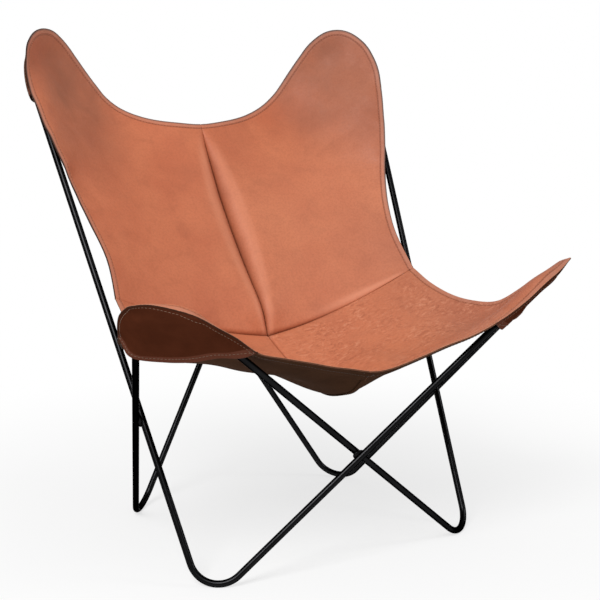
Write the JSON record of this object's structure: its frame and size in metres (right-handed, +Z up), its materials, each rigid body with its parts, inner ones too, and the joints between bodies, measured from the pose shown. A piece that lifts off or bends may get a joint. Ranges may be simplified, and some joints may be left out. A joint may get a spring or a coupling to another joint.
{
  "type": "butterfly chair",
  "caption": "Low lounge chair with a tan leather butterfly sling, hung by corner pockets on a welded frame of crossed loops of bent black steel rod.",
  "frame": {"origin": "on the floor, under the middle of the chair's overall box", "axes": "+Z up, -Y to the front (the way the sitter faces), +X to the right seen from the front"},
  "size_m": [0.8294, 0.752, 0.9235],
  "materials": {
    "black_steel": "satin black powder coat on bent steel rod",
    "tan_leather": "tan vegetable-tanned leather, smooth with a light pebble grain, semi-matt",
    "dark_leather": "dark brown flesh side, matt"
  },
  "bodies": {
    "root": {"rod_loop_a": "black_steel", "rod_loop_b": "black_steel", "weld_front": "black_steel", "weld_back": "black_steel", "weld_left": "black_steel", "weld_right": "black_steel", "back_panel_left": "tan_leather", "back_panel_right": "tan_leather", "seat_panel_left": "tan_leather", "seat_panel_right": "tan_leather", "back_pocket_left": "dark_leather", "back_pocket_right": "dark_leather", "front_pocket_left": "dark_leather", "front_pocket_right": "dark_leather", "top_facing_left": "dark_leather", "top_facing_right": "dark_leather", "back_side_facing_left": "dark_leather", "back_side_facing_right": "dark_leather", "front_facing_left": "dark_leather", "front_facing_right": "dark_leather", "seat_side_facing_left": "dark_leather", "seat_side_facing_right": "dark_leather", "back_seam_tape": "dark_leather", "seat_seam_tape": "dark_leather", "cross_seam_tape": "dark_leather"}
  },
  "joints": []
}
